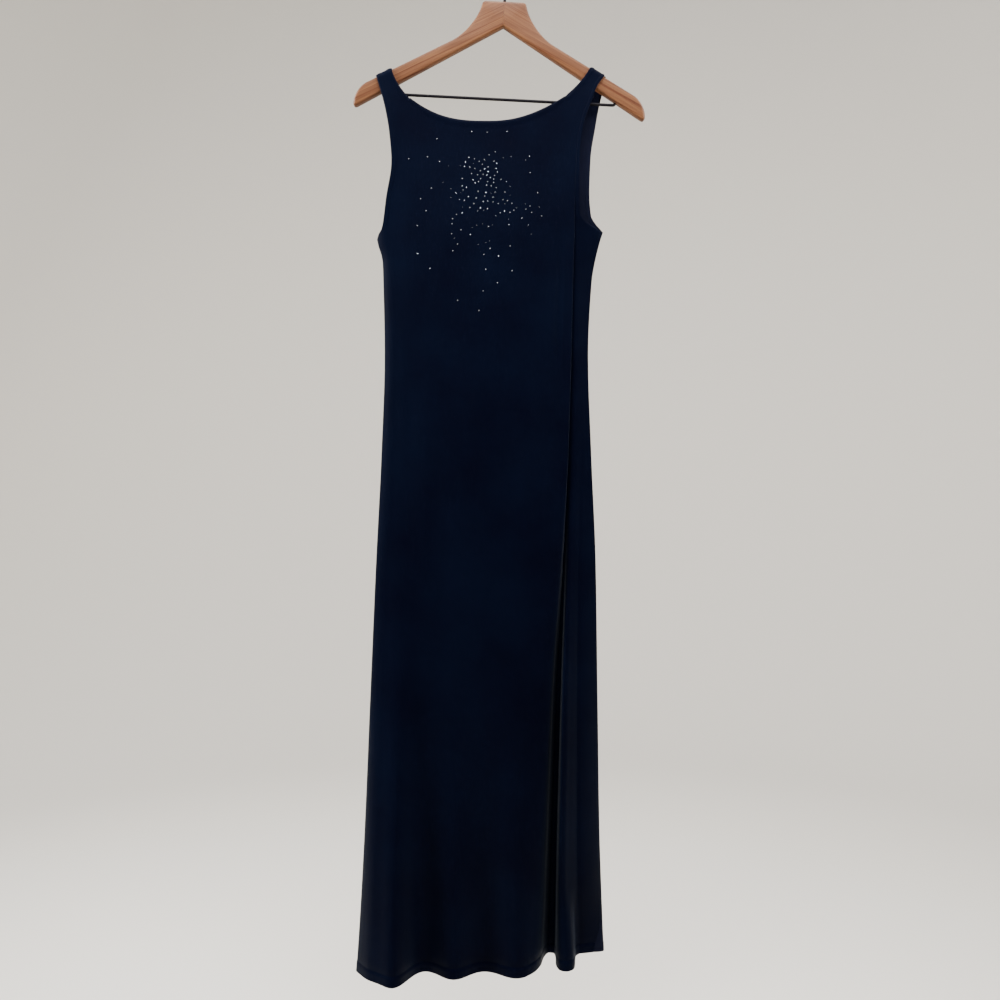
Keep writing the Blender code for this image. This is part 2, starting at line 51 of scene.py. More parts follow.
camera = bpy.data.objects.new("camera", bpy.data.cameras.new("camera"))
bpy.context.scene.collection.objects.link(camera)
camera.location = (-0.010, -1.5, -0.8085)
camera.rotation_euler = (math.radians(90), 0, 0)
camera.data.sensor_width = 36
camera.data.lens = 36
bpy.context.scene.camera = camera

# ---------------------------------------------------------------- the wooden halves
# A flat hanger is sawn from two 12 mm beech boards, with the grain along each arm, then mitred and glued at
# the middle. Its edges are rounded over, and it has a satin clear lacquer.

MM = 0.001
ROLL = math.radians(2.9)  # it hangs with its right arm lower
WOOD_THICK = 12
WOOD_EDGE = 3.4  # the rounding of its edges
GLUE_LINE = 0.05  # half the width of the glued mitre
HALF_CORNERS = (  # across and drop of each corner, and how far along its sides the rounding starts
    (0, 63, 0),
    (32, 63, 4.2),
    (43.7, 106.6, 36.5),
    (218.6, 203.5, 21.2),
    (218.6, 232.8, 8.0),
    (0, 100.8, 0),
)


def srgb(code):
    """A colour from its sRGB hex code, as linear RGBA."""
    channels = [int(code[i : i + 2], 16) / 255 for i in (0, 2, 4)]
    linear = [c / 12.92 if c <= 0.04045 else ((c + 0.055) / 1.055) ** 2.4 for c in channels]
    return (*linear, 1.0)


def add_node(material, kind, settings=None, **inputs):
    """A shader node with its settings, its inputs set to values or linked from other nodes' outputs.

    An input goes by its name, or by its number, as in _6, where names repeat."""
    node = material.node_tree.nodes.new(f"ShaderNode{kind}")
    for key, value in (settings or {}).items():
        setattr(node, key, value)
    for key, value in inputs.items():
        socket = node.inputs[int(key[1:])] if key[1:].isdigit() else node.inputs[key.replace("_", " ")]
        if isinstance(value, bpy.types.NodeSocket):
            material.node_tree.links.new(value, socket)
        else:
            socket.default_value = value
    return node


def new_material(name, **values):
    """A material with a Principled shader, and the shader's own values."""
    material = bpy.data.materials.new(name)
    material.use_nodes = True
    shader = material.node_tree.nodes["Principled BSDF"]
    for key, value in values.items():
        shader.inputs[key.replace("_", " ")].default_value = value
    return material, shader


def colour_steps(node, *steps):
    """Sets a colour ramp's places and colours."""
    ramp = node.color_ramp
    for index, (place, colour) in enumerate(steps):
        stop = ramp.elements[index] if index < 2 else ramp.elements.new(place)
        stop.position = place
        stop.color = colour
    return node


def finish(name, bm, *materials, slot, replaces=(), sharp=40):
    """A finished piece from a bmesh in millimetres: in metres, shaded smooth, riding on the one body."""
    bmesh.ops.scale(bm, vec=(MM, MM, MM), verts=bm.verts)
    mesh = bpy.data.meshes.new(name)
    bm.to_mesh(mesh)
    bm.free()
    for material in materials:
        mesh.materials.append(material)
    mesh.shade_smooth()
    mesh.set_sharp_from_angle(angle=math.radians(sharp))
    piece = bpy.data.objects.new(name, mesh)
    bpy.context.scene.collection.objects.link(piece)
    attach(piece, "root")
    if replaces:
        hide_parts(*replaces)
    return piece


def lacquered_beech(name, grain_angle, offset):
    """Satin lacquered beech: pinkish tan, with soft growth bands, a few darker lines and fine pores."""
    material, shader = new_material(
        name, Roughness=0.45, IOR=1.5, Coat_Weight=0.04, Coat_Roughness=0.3, Specular_IOR_Level=0.14
    )
    place = add_node(material, "TexCoord").outputs["Object"]
    along = add_node(
        material, "Mapping", Vector=place, Rotation=(0, grain_angle, 0), Location=offset
    ).outputs["Vector"]
    # Bands run about 5 mm apart and 20 times as long; the lines are 1 to 2 mm; the pores 0.3 by 3 mm.
    drawn_out = add_node(material, "Mapping", Vector=along, Scale=(9, 40, 190)).outputs["Vector"]
    bands = add_node(
        material, "TexNoise", Vector=drawn_out, Scale=1.0, Detail=3.0, Roughness=0.55, Distortion=0.6
    )
    tone = colour_steps(
        add_node(material, "ValToRGB", Fac=bands.outputs["Fac"]),
        (0.28, srgb("4A2B18")),
        (0.72, srgb("644228")),
        (0.5, srgb("583722")),
    )
    line_grain = add_node(material, "Mapping", Vector=along, Scale=(5, 60, 620)).outputs["Vector"]
    lines = add_node(
        material, "TexNoise", Vector=line_grain, Scale=1.0, Detail=2.0, Roughness=0.5, Distortion=0.3
    )
    line_mask = colour_steps(
        add_node(material, "ValToRGB", Fac=lines.outputs["Fac"]),
        (0.54, (0, 0, 0, 1)),
        (0.68, (1, 1, 1, 1)),
    )
    # Inputs 6 and 7 and output 2 of a Mix node are its colours.
    lined = add_node(
        material,
        "Mix",
        {"data_type": "RGBA", "blend_type": "MULTIPLY"},
        Factor=line_mask.outputs["Color"],
        _6=tone.outputs["Color"],
        _7=srgb("C4A288"),
    )
    pore_grain = add_node(material, "Mapping", Vector=along, Scale=(300, 1500, 2600)).outputs["Vector"]
    pores = add_node(material, "TexNoise", Vector=pore_grain, Scale=1.0, Detail=1.0)
    pore_mask = colour_steps(
        add_node(material, "ValToRGB", Fac=pores.outputs["Fac"]),
        (0.6, (0, 0, 0, 1)),
        (0.75, (0.55, 0.55, 0.55, 1)),
    )
    pored = add_node(
        material,
        "Mix",
        {"data_type": "RGBA", "blend_type": "MULTIPLY"},
        Factor=pore_mask.outputs["Color"],
        _6=lined.outputs[2],
        _7=srgb("A07A5C"),
    )
    links = material.node_tree.links
    links.new(pored.outputs[2], shader.inputs["Base Color"])
    grain = add_node(material, "Bump", Height=pores.outputs["Fac"], Strength=0.12, Distance=0.0003)
    links.new(grain.outputs["Normal"], shader.inputs["Normal"])
    return material


def hanger_half(side):
    """One half: its outline is rounded at the corners, extruded, rounded over, and cut at the mitre."""
    bm = bmesh.new()
    corners = [bm.verts.new((x, -WOOD_THICK / 2, -drop)) for x, drop, _ in HALF_CORNERS]
    bm.faces.new(corners)
    for vert, (_, _, reach) in zip(corners, HALF_CORNERS):
        if reach:
            bmesh.ops.bevel(
                bm,
                geom=[vert],
                offset=reach,
                offset_type="OFFSET",
                segments=24,
                profile=0.5,
                affect="VERTICES",
                material=-1,
            )
    bmesh.ops.mirror(bm, geom=bm.faces[:] + bm.edges[:] + bm.verts[:], axis="X", merge_dist=0.01)
    bmesh.ops.dissolve_edges(bm, edges=[edge for edge in bm.edges if len(edge.link_faces) == 2])
    grown = bmesh.ops.extrude_face_region(bm, geom=bm.faces[:])["geom"]
    far = [item for item in grown if isinstance(item, bmesh.types.BMVert)]
    bmesh.ops.translate(bm, verts=far, vec=(0, WOOD_THICK, 0))
    rims = [edge for edge in bm.edges if edge.verts[0].co.y * edge.verts[1].co.y > 0]
    bmesh.ops.bevel(
        bm,
        geom=rims,
        offset=WOOD_EDGE,
        offset_type="OFFSET",
        segments=6,
        profile=0.5,
        affect="EDGES",
        material=-1,
    )
    bmesh.ops.bisect_plane(
        bm,
        geom=bm.verts[:] + bm.edges[:] + bm.faces[:],
        plane_co=(side * GLUE_LINE, 0, 0),
        plane_no=(-side, 0, 0),
        clear_outer=True,
    )
    bmesh.ops.holes_fill(bm, edges=bm.edges, sides=0)
    bmesh.ops.recalc_face_normals(bm, faces=bm.faces)
    bmesh.ops.rotate(bm, verts=bm.verts, cent=(0, 0, 0), matrix=Matrix.Rotation(ROLL, 3, "Y"))
    return bm


for word, side, grain_turn in (("left", -1, 25.5), ("right", 1, -30)):
    beech = lacquered_beech(
        f"lacquered_beech_{word}", math.radians(grain_turn), offset=(0.3 * side, 0, 0.02 * side)
    )
    finish(f"beech_half_{word}", hanger_half(side), beech, slot="beech", replaces=[f"hanger_half_{word}"])

# ---------------------------------------------------------------- the hook and the trouser bar
# Both are bent from steel wire and lacquered black. The hook, 4.2 mm thick, is pressed into the head, and
# the bar, 4.4 mm thick, is sprung into a hole under each arm.

WIRE_SIDES = 20


def black_wire():
    """Black lacquer on drawn steel wire: a soft shine, slightly uneven along the wire."""
    material, shader = new_material(
        "black_lacquered_steel", Base_Color=srgb("0D0B10"), IOR=1.5, Specular_IOR_Level=0.08
    )
    place = add_node(material, "TexCoord").outputs["Object"]
    orange_peel = add_node(material, "TexNoise", Vector=place, Scale=900.0, Detail=2.0)
    rough = add_node(
        material,
        "MapRange",
        Value=orange_peel.outputs["Fac"],
        From_Min=0.3,
        From_Max=0.7,
        To_Min=0.55,
        To_Max=0.7,
    )
    bump = add_node(material, "Bump", Height=orange_peel.outputs["Fac"], Strength=0.15, Distance=0.0002)
    links = material.node_tree.links
    links.new(rough.outputs["Result"], shader.inputs["Roughness"])
    links.new(bump.outputs["Normal"], shader.inputs["Normal"])
    return material


def wire_start(bm, x, z, radius, facing):
    """A disc across the wire at its first end, to be drawn along."""
    turn = Vector((0, 0, 1)).rotation_difference(facing).to_matrix().to_4x4()
    made = bmesh.ops.create_circle(
        bm,
        cap_ends=True,
        segments=WIRE_SIDES,
        radius=radius,
        matrix=Matrix.Translation((x, 0, z)) @ turn,
    )
    return [made["verts"][0].link_faces[0]]


def draw_straight(bm, end, step):
    """Draws the wire's end face on in a straight line."""
    grown = bmesh.ops.extrude_face_region(bm, geom=end)["geom"]
    moved = [item for item in grown if isinstance(item, bmesh.types.BMVert)]
    bmesh.ops.translate(bm, verts=moved, vec=step)
    bmesh.ops.delete(bm, geom=end, context="FACES_ONLY")
    return [item for item in grown if isinstance(item, bmesh.types.BMFace)]


def draw_bend(bm, end, centre, angle, steps):
    """Draws the wire's end face on round a centre."""
    made = bmesh.ops.spin(
        bm, geom=end, cent=centre, axis=(0, 1, 0), angle=angle, steps=steps, use_duplicate=False
    )
    return [item for item in made["geom_last"] if isinstance(item, bmesh.types.BMFace)]


HOOK_WIRE = 2.1  # the wire's radius
HOOK_TIP = 1.3  # the rounding of its end
HOOK_INSIDE = 19  # the radius inside the hook
SWAN_RADIUS = 12  # and of the bend that leads from the stem into it
HOOK_SWEEP = math.radians(207)  # how far the wire has turned from the stem to its tip
STEM_FOOT = -79  # the height of the stem's foot, inside the head

ring = HOOK_INSIDE + HOOK_WIRE
rise = math.sqrt((SWAN_RADIUS + ring) ** 2 - SWAN_RADIUS**2)
swan_turn = math.atan2(rise, SWAN_RADIUS)
bm = bmesh.new()
end = wire_start(bm, 0, STEM_FOOT, HOOK_WIRE, Vector((0, 0, 1)))
end = draw_straight(bm, end, (0, 0, -HOOK_INSIDE - rise - STEM_FOOT))
end = draw_bend(bm, end, (SWAN_RADIUS, 0, -HOOK_INSIDE - rise), swan_turn, steps=12)
end = draw_bend(bm, end, (0, 0, -HOOK_INSIDE), -swan_turn - HOOK_SWEEP, steps=64)
bmesh.ops.bevel(
    bm,
    geom=list(end[0].edges),
    offset=HOOK_TIP,
    offset_type="OFFSET",
    segments=5,
    profile=0.5,
    affect="EDGES",
    material=-1,
)
bmesh.ops.recalc_face_normals(bm, faces=bm.faces)
bmesh.ops.rotate(bm, verts=bm.verts, cent=(0, 0, 0), matrix=Matrix.Rotation(ROLL, 3, "Y"))
black_lacquer = black_wire()
finish("wire_hook", bm, black_lacquer, slot="black_steel", replaces=["hook"])

BAR_WIRE = 2.2  # the wire's radius
BAR_DROP = 208.2
BAR_REACH = 173  # from the middle to each upright end
BAR_BEND = 3.5  # the radius of its bends
BAR_DEPTH = 9  # how far its ends go up into the arms

bm = bmesh.new()
foot = BAR_BEND - BAR_DROP
end = wire_start(bm, -BAR_REACH, foot + BAR_DEPTH, BAR_WIRE, Vector((0, 0, -1)))
end = draw_straight(bm, end, (0, 0, -BAR_DEPTH))
end = draw_bend(bm, end, (BAR_BEND - BAR_REACH, 0, foot), -math.pi / 2, steps=8)
end = draw_straight(bm, end, (2 * (BAR_REACH - BAR_BEND), 0, 0))
end = draw_bend(bm, end, (BAR_REACH - BAR_BEND, 0, foot), -math.pi / 2, steps=8)
draw_straight(bm, end, (0, 0, BAR_DEPTH))
bmesh.ops.recalc_face_normals(bm, faces=bm.faces)
bmesh.ops.rotate(bm, verts=bm.verts, cent=(0, 0, 0), matrix=Matrix.Rotation(ROLL, 3, "Y"))
finish("wire_trouser_bar", bm, black_lacquer, slot="black_steel", replaces=["trouser_bar"])

# ---------------------------------------------------------------- the jersey panels
# Front and back are each cut in one piece from heavy navy stretch jersey, a fine knit with a matt face, and
# sewn together at the shoulders and sides. Neck, armholes and hem are turned in and blind stitched. On the
# right the slack hangs in one deep fold, which rolls over on itself below the knees.

CLOTH = 1.0  # thickness of the single cloth
TURNED = 2.0  # and of its turned edges
EDGE_TURN = 7  # how wide the neck and armholes are turned in
HEM_DROP = 1510
HEM_LIFT = 6  # how much higher the hem is beyond the rolled fold
LIFT_SHARE = 0.25  # the share of the fold's width in which it rises
STITCH_DENT = 0.5  # how far the hem's stitched line is drawn in
STRAP_LIFT = 3.1  # the middle of the cloth above the wood, with the seam allowance under it
STRAP_WRAP = 8.5  # height over which a strap turns over the arm
WRAP_POWER = 2.6  # how squarely it does, where 2 is round
CORNER_REACH = 4.5  # the rounding of a strap's corners, across
CORNER_DROP = 2.6  # and down
STRAP_INNER = {"left": -172.2, "right": 125.6}  # where the straps' inner edges stand across
NECK_DEPTH = {"front": 82.5, "back": 90.5}  # of the scoop below the straps' tops
NECK_WIDE = {"left": 2.8, "right": 2.2}  # how full its two halves are across, where 2 is round
NECK_DEEP = {"left": 1.5, "right": 1.25}  # and down
UNDERARM = {"left": 418.5, "right": 407.4}  # the drops of the two underarm points
UNDERARM_ACROSS = {"left": -194, "right": 144}
LIP_ENDS = 700  # where the fold's overlapping lip starts to open
SLOPE_STARTS = 1100  # where it is open, with an even slope to its right
SLOPE_ENDS = 1380  # where that slope starts to roll over
ROLL_STARTS = 1500  # and where it has
SIDE_SOFTNESS = 1.7  # the panels round away over this many times the seam's own turn
SIDE_POWER = 2.0  # a round turn
FLAP_POWER = 1.35  # the flap right of the fold turns away more evenly, where 1 is a plain slope
FLAP_STARTS = 407  # from here down
FLAP_LENGTH = 50  # and wholly so after this
BOW_STARTS = 250  # below the hanger the panels start to bow
BOW_LENGTH = 170
BOW = {"front": (0.35, 0.7), "back": (0.22, 0.57)}  # out in the middle, and less by this at the sides
WAVE_POWER = 1.6  # how late the hem's waves grow


def smooth(*points):
    """A smooth line through points of place and value that never overshoots them."""
    places, values = zip(*points)
    slopes = [(b - a) / (q - p) for p, q, a, b in zip(places, places[1:], values, values[1:])]
    bends = [slopes[0]]
    for before, after in zip(slopes, slopes[1:]):
        bends.append(2 * before * after / (before + after) if before * after > 0 else 0.0)
    bends.append(slopes[-1])

    def value_at(place):
        if place <= places[0]:
            return values[0]
        if place >= places[-1]:
            return values[-1]
        index = max(i for i, start in enumerate(places[:-1]) if start <= place)
        length = places[index + 1] - places[index]
        t = (place - places[index]) / length
        start = values[index] * (1 + 2 * t) + bends[index] * length * t
        end = values[index + 1] * (3 - 2 * t) - bends[index + 1] * length * (1 - t)
        return start * (1 - t) ** 2 + end * t * t

    return value_at


def mix(low, high, share):
    """A value between two others."""
    return low + (high - low) * share


def ease(share):
    """A share from 0 to 1 that starts and ends gently."""
    share = min(max(share, 0.0), 1.0)
    return share * share * (3 - 2 * share)


def even(count):
    """Shares from 0 to 1 in even steps."""
    return [step / count for step in range(count + 1)]


# Where the panels meet at the sides and how deep the seam lies there, by drop.
SIDE = {
    "left": smooth(
        (160, -230), (330, -208), (385, -198), (407, -195), (419, -194),
        (450, -185.6), (480, -184.5), (590, -182.5), (740, -187.3), (900, -195.3),
        (1100, -203.8), (1300, -212), (1440, -219.3), (1512, -224),
    ),
    "right": smooth(
        (160, 186), (330, 166), (385, 152), (407, 144), (419, 140),
        (450, 132.3), (480, 127.3), (590, 122.1), (740, 126.9), (900, 133.8),
        (1100, 137.3), (1300, 141.3), (1440, 146.8), (1512, 150.3),
    ),
}
SEAM = {
    "left": smooth((900, 0), (1100, -1), (1300, -3), (1440, -6), (1512, -8)),
    "right": smooth(
        (419, 0), (450, 1), (480, 2), (590, 4), (740, 5),
        (900, 8), (1100, 15), (1300, 28), (1440, 40), (1512, 47),
    ),
}

# The width of the seam's own turn, and the width over which the flap right of the fold turns to the side.
ROUNDING = smooth((590, 9), (740, 10), (900, 11), (1100, 12), (1300, 13), (1440, 14))
FLAP_REACH = smooth((407, 9), (455, 24), (590, 23), (740, 29), (1100, 31), (1440, 36))

# The armholes' edges across, by height above the underarm points.
ARMHOLE = {
    ("front", "left"): smooth(
        (0, -194), (8, -191), (16, -186), (26, -184.2), (60, -180), (115, -171.9),
        (160, -175.4), (190, -180.4), (215, -186.5), (240, -194), (255, -198.5),
    ),
    ("front", "right"): smooth(
        (0, 144), (8, 127), (16, 114.5), (26, 108.8), (60, 108.3), (115, 108.7),
        (160, 114.5), (190, 124.8), (215, 134), (240, 150), (255, 154),
    ),
    ("back", "left"): smooth(
        (0, -194), (8, -190), (16, -184.5), (26, -182), (60, -177.5), (115, -169.5),
        (160, -173), (190, -178.5), (215, -185.5), (240, -193.5), (255, -198.5),
    ),
    ("back", "right"): smooth(
        (0, 144), (8, 139.5), (16, 133.3), (26, 127.6), (60, 124.9), (115, 126.8),
        (160, 133.6), (190, 139), (215, 145), (240, 150), (255, 154),
    ),
}

# How far the plain part of each panel stands from the middle, then the fold's edges and depth, and the
# width of the flap's last turn, all by drop.
LEVEL = {
    "front": smooth(
        (160, 7.7), (250, 8.6), (340, 9.5), (407, 10.4), (590, 12), (740, 14),
        (900, 16), (1100, 18), (1300, 15), (1440, 8), (1512, 5),
    ),
    "back": smooth(
        (160, 7.7), (250, 9), (415, 11.5), (590, 14), (900, 23), (1100, 31), (1300, 42), (1512, 58),
    ),
}
FOLD_LEFT = smooth(
    (160, 129), (200, 117), (250, 103.5), (290, 100), (340, 99), (385, 97), (407, 95), (455, 91),
    (590, 86), (740, 78), (900, 67.5), (1100, 53), (1300, 42), (1440, 34), (1512, 29),
)
FOLD_RIGHT = smooth(
    (160, 139), (200, 125), (250, 109.5), (290, 106), (385, 106), (407, 109), (455, 111),
    (590, 110), (740, 110), (900, 107.5), (1100, 105.5), (1300, 106), (1440, 109.5), (1512, 112),
)
FOLD_DEPTH = smooth(
    (330, 0), (385, 1.8), (407, 3.5), (455, 6), (590, 9), (740, 13), (900, 18), (1100, 28), (1300, 41),
    (1440, 47), (1512, 53),
)
FLAP_TURN = smooth(
    (160, 5), (200, 3), (250, 2), (290, 1.2), (385, 1.2), (407, 9),
    (590, 9), (740, 10), (900, 11), (1100, 12), (1300, 13), (1440, 14),
)

# The fold's cross-section in shares of its width and depth. Above, a lip laps over it from the left.
# Further down its right wall leans over a valley and slopes evenly to the flap behind. At the hem it rolls
# down.
LIP_SECTION = (
    (0, 0), (0.19, -0.03), (0.37, -0.05), (0.415, 0.12), (0.405, 0.80), (0.43, 1), (0.49, 0.95),
    (0.56, 0.88), (0.63, 0.82), (0.71, 0.79), (0.80, 0.78), (0.90, 0.78), (1, 0.80),
)
SLOPE_SECTION = (
    (0, 0), (0.13, 0.05), (0.25, 0.28), (0.33, 0.76), (0.43, 1), (0.54, 0.92), (0.56, 0.60),
    (0.55, 0.20), (0.60, -0.10), (0.69, -0.06), (0.79, 0.08), (0.90, 0.23), (1, 0.37),
)
ROLL_SECTION = (
    (0, 0), (0.13, 0.05), (0.25, 0.28), (0.33, 0.76), (0.43, 1), (0.54, 0.92), (0.56, 0.60),
    (0.55, 0.20), (0.60, -0.18), (0.72, -0.30), (0.85, -0.16), (0.92, 0.62), (1, 0.76),
)
SECTION_STEPS = even(len(ROLL_SECTION) - 1)
LIP, SLOPE, CURL = (
    [smooth(*zip(SECTION_STEPS, values)) for values in zip(*section)]
    for section in (LIP_SECTION, SLOPE_SECTION, ROLL_SECTION)
)

# Soft waves that die out above the hem: place and half width at the hem, reach outwards, and height.
WAVES = {
    "front": ((-193, 24, 36, 560), (-160, 16, 42, 640), (-78, 20, 31, 420), (14, 22, 27, 480)),
    "back": (
        (-165, 26, 16, 560), (-92, 20, -14, 640), (-28, 22, 13, 460),
        (66, 30, 12, 700), (118, 15, -8, 380),
    ),
}

# Creases: the upper and the lower end, each across and down, then half width, reach outwards and fading.
CREASES = {
    "front": (
        (81, 385, 74, 640, 3.2, -1.5, 80),
        (84, 400, 81, 640, 5, 0.5, 90),
        (-153, 480, -153, 800, 9, 0.5, 150),
        (-166, 520, -168, 840, 6, -0.35, 140),
        (-143, 520, -145, 900, 8, -0.4, 160),
        (-120, 560, -126, 1020, 14, 0.5, 190),
        (-98, 680, -106, 1220, 12, -0.6, 230),
        (-52, 520, -58, 1060, 20, 0.6, 240),
        (8, 600, 2, 1180, 19, -0.6, 260),
        (38, 520, 30, 940, 14, 0.5, 190),
        (114, 690, 106, 900, 2.6, -0.7, 60),
        (106, 850, 104.5, 1500, 2.8, -1.3, 90),
        (117, 560, 122, 1080, 6, 0.4, 150),
        (-176, 760, -183, 1180, 7, -0.5, 160),
        (-30, 1040, -36, 1500, 14, 0.9, 190),
        (-132, 1080, -138, 1505, 9, -1.2, 170),
    ),
    "back": (
        (-150, 330, -146, 760, 7, 1.6, 130),
        (-130, 420, -128, 900, 8, -1.5, 190),
        (-96, 360, -101, 820, 10, 1.2, 180),
        (-58, 480, -64, 1120, 9, -1.4, 240),
        (-22, 340, -25, 700, 13, 1.0, 150),
        (14, 560, 9, 1230, 10, 1.5, 240),
        (48, 430, 44, 1010, 8, -1.5, 210),
        (82, 350, 79, 780, 7, 1.4, 150),
        (101, 520, 104, 1180, 7, -1.6, 200),
        (-168, 700, -175, 1300, 8, -1.4, 200),
        (-118, 960, -124, 1505, 9, 1.6, 200),
        (30, 1080, 26, 1505, 12, -1.6, 180),
    ),
}


# The straight top of an arm, before the hanger is tipped: a place near the head and one near its tip, each
# across and down. It slopes at 29 degrees.
ARM_NEAR = (58.9, 115)
ARM_FAR = (198, 115 + 139.1 * math.tan(math.radians(29)))


def arm_top(x):
    """The drop of the straight top of the tipped hanger's arm at a place across."""
    side = math.copysign(1.0, x)
    ends = []
    for across, drop in (ARM_NEAR, ARM_FAR):
        turned = side * across * math.cos(ROLL) - drop * math.sin(ROLL)
        ends.append((turned, side * across * math.sin(ROLL) + drop * math.cos(ROLL)))
    (near, near_drop), (far, far_drop) = ends
    return mix(near_drop, far_drop, (x - near) / (far - near))


def shoulder_drop(x):
    """The drop of the top of a strap, which lies over the hanger's arm."""
    return arm_top(x) - STRAP_LIFT


def strap_top(x):
    """The drop of a strap's top, which is rounded at both of its edges."""
    side = "left" if x < 0 else "right"
    level = shoulder_drop(x)
    outer = ARMHOLE["front", side](UNDERARM[side] - level)
    inside = min(abs(x - STRAP_INNER[side]), abs(x - outer))
    return level + CORNER_DROP * (1 - turned_share(inside, CORNER_REACH))


def underarm_drop(x):
    """The drop of the line between the two underarm points."""
    left, right = UNDERARM_ACROSS["left"], UNDERARM_ACROSS["right"]
    return mix(UNDERARM["left"], UNDERARM["right"], (x - left) / (right - left))


def hem_drop(x):
    """The drop of the hem, a little higher to the right of the fold."""
    rise_ends = FOLD_RIGHT(HEM_DROP)
    rise = LIFT_SHARE * (rise_ends - FOLD_LEFT(HEM_DROP))
    return HEM_DROP - HEM_LIFT * ease((x - rise_ends) / rise + 1)


def neck_point(panel, angle):
    """A point of the neckline's scoop, by its angle round it from the right strap to the left one."""
    left, right = STRAP_INNER["left"], STRAP_INNER["right"]
    side = "left" if angle > math.pi / 2 else "right"
    across = math.copysign(abs(math.cos(angle)) ** (2 / NECK_WIDE[side]), math.cos(angle))
    down = math.sin(angle) ** (2 / NECK_DEEP[side])
    level = mix(shoulder_drop(right), shoulder_drop(left), angle / math.pi)
    return mix(left, right, (1 + across) / 2), level + NECK_DEPTH[panel] * down


def neck_angle(panel, side, drop):
    """The angle round the scoop at which one half of the neckline passes a drop."""
    level = shoulder_drop(STRAP_INNER[side])
    down = min(max((drop - level) / NECK_DEPTH[panel], 0.0), 1.0)
    angle = math.asin(down ** (NECK_DEEP[side] / 2))
    return math.pi - angle if side == "left" else angle


# The panels' rows, in shares of the way down: from a strap's top to the underarm, closer together at the
# top, and on to the hem. The last rows are the hem's stitched line and its 15 mm turning.
TOP_CROWDING = 1.7
UPPER_ROWS = [share**TOP_CROWDING for share in even(60)]
NECK_ROW = 22  # the top row of the columns under the neck
EDGE_ENDS = len(UPPER_ROWS) - 3  # the armholes' turned edges end just above the underarm
PLAIN_SHARE = 0.985
TURNING_ROWS = [0.9863, 0.9876, 0.992, 0.9965, 0.999, 1.0]
LOWER_ROWS = [PLAIN_SHARE * share for share in even(98)] + TURNING_ROWS
ROW_COUNT = len(UPPER_ROWS) + len(LOWER_ROWS) - 1
HEM_STITCH_ROW = ROW_COUNT - len(TURNING_ROWS)

# How many columns cross each stretch of a panel.
STRAP_COLUMNS = 12
NECK_COLUMNS = 84
GAP_COLUMNS = 4
FOLD_COLUMNS = 52
FLAP_COLUMNS = 7
FLAP_TURN_COLUMNS = 10


def neck_corner(panel, side):
    """The angle and the drop of the neckline where the columns under the neck start, beside a strap."""
    inner = STRAP_INNER[side]
    top = shoulder_drop(inner)
    drop = mix(top, underarm_drop(inner), UPPER_ROWS[NECK_ROW])
    return neck_angle(panel, side, drop), drop


def guide(panel, name, drop):
    """The place at a drop of one of the lines that a panel's columns run between."""
    if name in ("left", "right"):
        if drop < UNDERARM[name]:
            return ARMHOLE[panel, name](UNDERARM[name] - drop)
        return SIDE[name](drop)
    if name == "fold_left":
        return FOLD_LEFT(drop)
    if name == "fold_right":
        return FOLD_RIGHT(drop)
    if name == "flap_turn":
        return guide(panel, "right", drop) - FLAP_TURN(drop)
    side = name.removesuffix("_inner")
    angle, corner_drop = neck_corner(panel, side)
    if drop <= corner_drop:
        return neck_point(panel, neck_angle(panel, side, drop))[0]
    outer_name = "fold_left" if (panel, side) == ("front", "right") else side
    start = neck_point(panel, angle)[0] - guide(panel, outer_name, corner_drop)
    settled = math.copysign(ROUNDING(drop), start)
    share = ease((drop - corner_drop) / (UNDERARM[side] - corner_drop))
    return guide(panel, outer_name, drop) + mix(start, settled, share)


def turning_columns(outer, inner, count, step):
    """Columns from a panel's side inwards, even on the strap above and closer to the turned side below."""
    columns = []
    for share in even(count):
        columns.append((outer, inner, share, 1 - math.cos(share * math.pi / 2), step, 0))
    return columns


def column_plan(panel):
    """The panel's columns from left to right: the guides they run between, their shares of the way above
    and below, their place in the fold's section, and their first row."""
    plan = turning_columns("left", "left_inner", STRAP_COLUMNS, None)
    first, last = (neck_corner(panel, side)[0] for side in ("left", "right"))
    start, end = neck_point(panel, first)[0], neck_point(panel, last)[0]
    for share in even(NECK_COLUMNS)[1:-1]:
        across = (neck_point(panel, mix(first, last, share))[0] - start) / (end - start)
        plan.append(("left_inner", "right_inner", across, share, None, NECK_ROW))
    if panel == "back":
        return plan + turning_columns("right", "right_inner", STRAP_COLUMNS, None)[::-1]
    plan += [("right_inner", "fold_left", share, share, None, 0) for share in even(GAP_COLUMNS)[:-1]]
    plan += [("fold_left", "fold_right", share, share, share, 0) for share in even(FOLD_COLUMNS)]
    plan += [("fold_right", "flap_turn", share, share, 1.0, 0) for share in even(FLAP_COLUMNS)[1:-1]]
    return plan + turning_columns("right", "flap_turn", FLAP_TURN_COLUMNS, 1.0)[::-1]


def fold_section(step, drop):
    """A step of the fold's cross-section at a drop: its place across and its depth, in shares."""
    opened = ease((drop - LIP_ENDS) / (SLOPE_STARTS - LIP_ENDS))
    rolled = ease((drop - SLOPE_ENDS) / (ROLL_STARTS - SLOPE_ENDS))
    return [
        mix(mix(lip(step), slope(step), opened), curl(step), rolled)
        for lip, slope, curl in zip(LIP, SLOPE, CURL)
    ]


def turned_share(distance, reach, power=2.0):
    """How far a surface has turned, from 0 at its edge to 1 at a reach from that. Power 2 is round."""
    inside = 1 - min(max(distance / reach, 0.0), 1.0)
    return (1 - inside**power) ** (1 / power)


